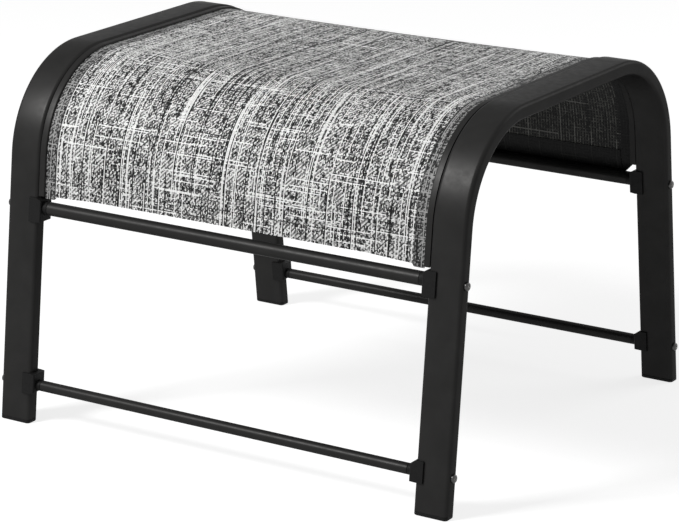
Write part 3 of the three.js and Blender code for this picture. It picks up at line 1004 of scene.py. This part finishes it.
def build_cap(leg, end, sign):
    def ring(inset, height):
        return [Vector((x, y, height)) for x, y in tube_outline(-inset)]

    plug = TUBE_WALL + SEAT_GAP
    rings = []
    for i in range(CORNER_STEPS + 1):
        turn = math.pi / 2 * i / CORNER_STEPS
        inset = SOLE_ROUNDING * (1 - math.sin(turn))
        rings.append(ring(inset, SOLE_ROUNDING * (1 - math.cos(turn))))
    rings.append(ring(0.0, SOLE_THICKNESS - CAP_EASING))
    rings.append(ring(CAP_EASING, SOLE_THICKNESS))
    rings.append(ring(plug, SOLE_THICKNESS))
    rings.append(ring(plug, SOLE_THICKNESS + PLUG_HEIGHT))
    form = moved(leaned(loft(rings), end), Vector((sign * side_x, end * foot_half, 0.0)))
    cap = add_mesh(f"{leg}_cap_sole", *form, smooth_angle=CAP_SMOOTH_ANGLE)
    dress(cap, moulding, "black_moulding", f"{leg}_foot_cap")


def build_leg(end_name, end, side, sign):
    leg = f"{end_name}_{side}"
    for level in ("upper", "lower"):
        build_saddle(leg, side, level, end, sign)
        build_bolt(leg, level, sign)
    build_cap(leg, end, sign)


add_camera()
for side_name, side_sign in (("left", -1), ("right", 1)):
    build_tube(side_name, side_sign * side_x)
    build_rail(side_name, side_sign)
    for end_name, end_sign in (("front", -1), ("rear", 1)):
        build_leg(end_name, end_sign, side_name, side_sign)
for end_name in ("front", "rear"):
    for level_name in ("upper", "lower"):
        build_bar(end_name, level_name)
build_sling()

# Solids that stay as they are get a fuller material
for name, item in frame["nodes"].items():
    if item.type == "MESH" and ("spline" in name or "insert" in name):
        item.data.materials.clear()
        item.data.materials.append(extruded if "spline" in name else bright_zinc)

# Stage and light


def shown_share(tree):
    """One for rays of the camera, of gloss and of glass, which see the pale studio."""
    path = tree.nodes.new("ShaderNodeLightPath")
    share = path.outputs["Is Camera Ray"]
    for kind in ("Is Glossy Ray", "Is Transmission Ray"):
        either = tree.nodes.new("ShaderNodeMath")
        either.operation = "MAXIMUM"
        tree.links.new(share, either.inputs[0])
        tree.links.new(path.outputs[kind], either.inputs[1])
        share = either.outputs[0]
    return share


def grey(value):
    return value, value, value, 1.0


def add_area(name, place, size, power):
    """A square area lamp that points at the middle of the object."""
    light = bpy.data.lights.new(name, "AREA")
    light.shape = "SQUARE"
    light.size = size
    light.energy = power
    lamp = bpy.data.objects.new(name, light)
    lamp.location = place
    aim = LAMP_AIM - Vector(place)
    lamp.rotation_euler = aim.to_track_quat("-Z", "Y").to_euler()
    bpy.context.scene.collection.objects.link(lamp)


def add_stage():
    signs = ((-1, -1), (1, -1), (1, 1), (-1, 1))
    corners = [Vector((x * FLOOR_HALF, y * FLOOR_HALF, 0.0)) for x, y in signs]
    floor = add_mesh("floor", corners, [(0, 1, 2, 3)])
    floor.location.z = -FLOOR_DROP
    material = bpy.data.materials.new("floor")
    material.use_nodes = True
    tree = material.node_tree
    tree.nodes.clear()
    seen = tree.nodes.new("ShaderNodeMixShader")
    bounce = tree.nodes.new("ShaderNodeBsdfDiffuse")
    bounce.inputs["Color"].default_value = grey(FLOOR_COLOUR)
    shown = tree.nodes.new("ShaderNodeAddShader")
    glow = tree.nodes.new("ShaderNodeEmission")
    glow.inputs["Strength"].default_value = FLOOR_SHOWN_GLOW
    matte = tree.nodes.new("ShaderNodeBsdfDiffuse")
    matte.inputs["Color"].default_value = grey(FLOOR_SHOWN_COLOUR)
    output = tree.nodes.new("ShaderNodeOutputMaterial")
    tree.links.new(glow.outputs[0], shown.inputs[0])
    tree.links.new(matte.outputs[0], shown.inputs[1])
    tree.links.new(shown_share(tree), seen.inputs[0])
    tree.links.new(bounce.outputs[0], seen.inputs[1])
    tree.links.new(shown.outputs[0], seen.inputs[2])
    tree.links.new(seen.outputs[0], output.inputs["Surface"])
    floor.data.materials.append(material)


def add_world():
    world = bpy.data.worlds.new("studio")
    bpy.context.scene.world = world
    world.use_nodes = True
    tree = world.node_tree
    tree.nodes.clear()
    mix = tree.nodes.new("ShaderNodeMix")
    mix.data_type = "RGBA"
    mix.inputs[MIX_FIRST].default_value = grey(WORLD_LIGHT)
    mix.inputs[MIX_SECOND].default_value = grey(WORLD_SHOWN)
    glow = tree.nodes.new("ShaderNodeBackground")
    output = tree.nodes.new("ShaderNodeOutputWorld")
    tree.links.new(shown_share(tree), mix.inputs[MIX_SHARE])
    tree.links.new(mix.outputs[MIX_RESULT], glow.inputs["Color"])
    tree.links.new(glow.outputs[0], output.inputs["Surface"])


add_stage()
add_world()
add_area("key", place=(-1.42, -2.1, 2.33), size=0.9, power=97.0)
add_area("back", place=(1.6, 2.4, 1.4), size=1.6, power=24.0)

bpy.context.scene.view_settings.view_transform = "Standard"
